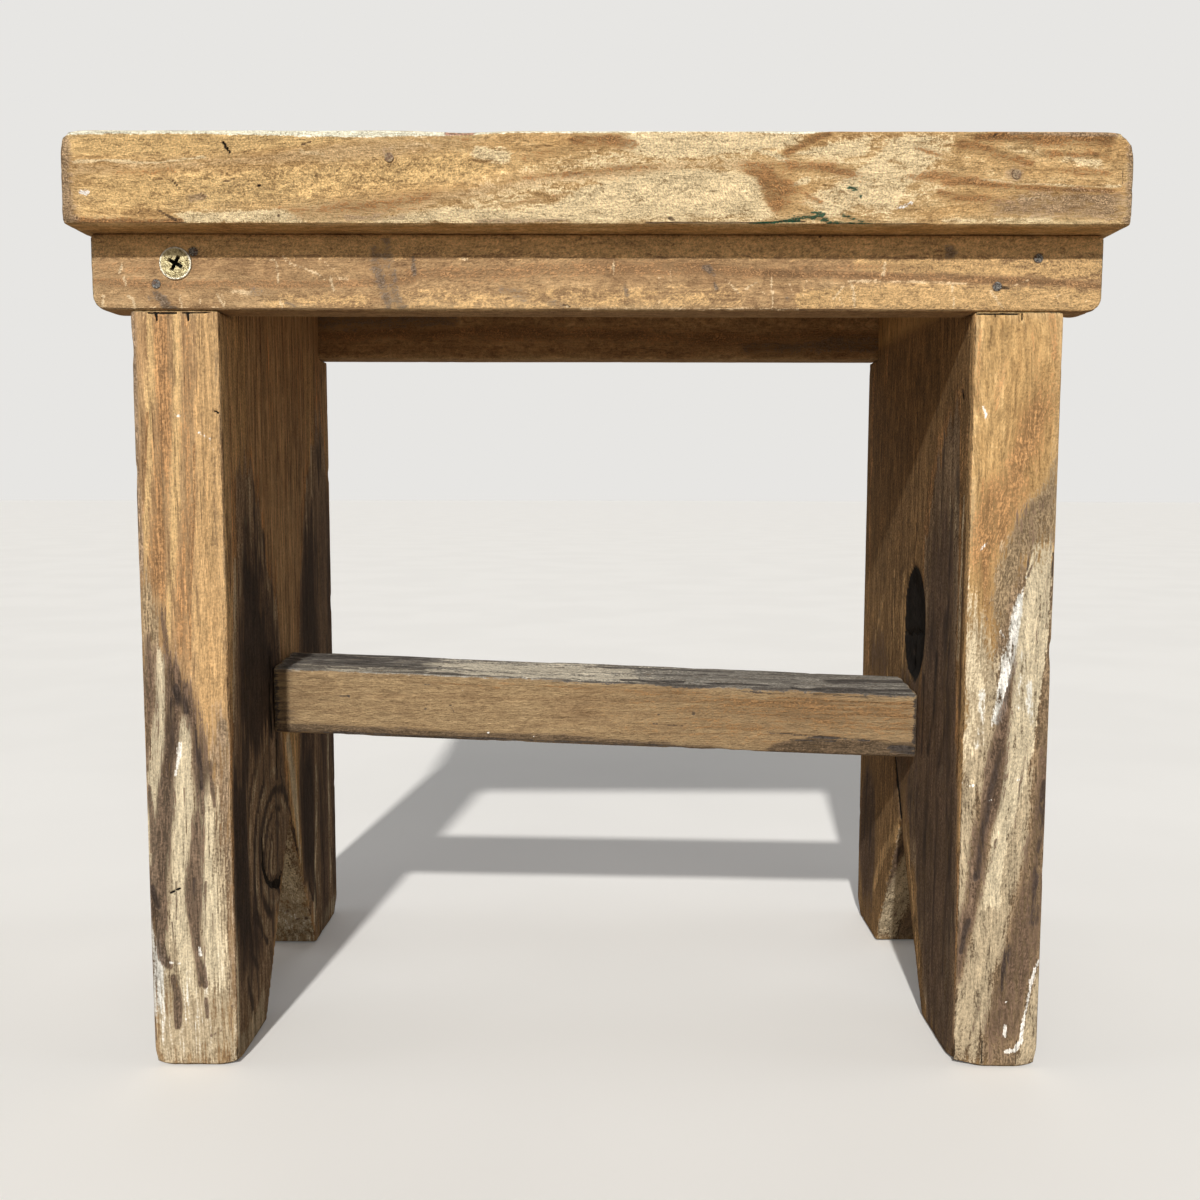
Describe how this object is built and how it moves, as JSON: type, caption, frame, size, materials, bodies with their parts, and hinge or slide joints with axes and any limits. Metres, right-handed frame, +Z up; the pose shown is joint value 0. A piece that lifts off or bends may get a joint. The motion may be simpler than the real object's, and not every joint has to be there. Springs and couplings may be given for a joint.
{
  "type": "milking stool",
  "caption": "Low rectangular wooden stool: thick seat board on two upright board legs with notched feet, front and back aprons and a stretcher, nailed together.",
  "frame": {"origin": "on the floor, under the middle of the seat: the middle of the underside of the whole stool's bounding box", "axes": "+X along the seat to the right of a person facing the front apron, +Y from the front apron to the back apron, +Z up"},
  "size_m": [0.308, 0.164, 0.2845],
  "materials": {
    "seat_wood": "bare, weathered and handled, fuzzy grain, worn corners",
    "leg_wood": "bare, with bands of pale sapwood and dark brown water and soil stain at the feet",
    "apron_wood": "bare, rubbed, with scratches",
    "stretcher_wood": "bare, sawn front, grey dirty top",
    "nail_steel": "dull grey steel, lightly oxidised",
    "screw_plate": "worn yellow zinc plating on steel"
  },
  "bodies": {
    "root": {"seat_board": "seat_wood", "left_leg_board": "leg_wood", "right_leg_board": "leg_wood", "front_apron": "apron_wood", "back_apron": "apron_wood", "stretcher": "stretcher_wood", "front_apron_nail_left_1": "nail_steel", "front_apron_nail_left_2": "nail_steel", "front_apron_nail_right_1": "nail_steel", "front_apron_nail_right_2": "nail_steel", "back_apron_nail_left_1": "nail_steel", "back_apron_nail_left_2": "nail_steel", "back_apron_nail_right_1": "nail_steel", "back_apron_nail_right_2": "nail_steel", "seat_nail_left_1": "nail_steel", "seat_nail_left_2": "nail_steel", "seat_nail_left_3": "nail_steel", "seat_nail_right_1": "nail_steel", "seat_nail_right_2": "nail_steel", "seat_nail_right_3": "nail_steel", "stretcher_nail_left_1": "nail_steel", "stretcher_nail_left_2": "nail_steel", "stretcher_nail_right_1": "nail_steel", "stretcher_nail_right_2": "nail_steel", "seat_edge_nail_left": "nail_steel", "seat_edge_nail_right": "nail_steel", "apron_screw": "screw_plate"}
  },
  "joints": []
}
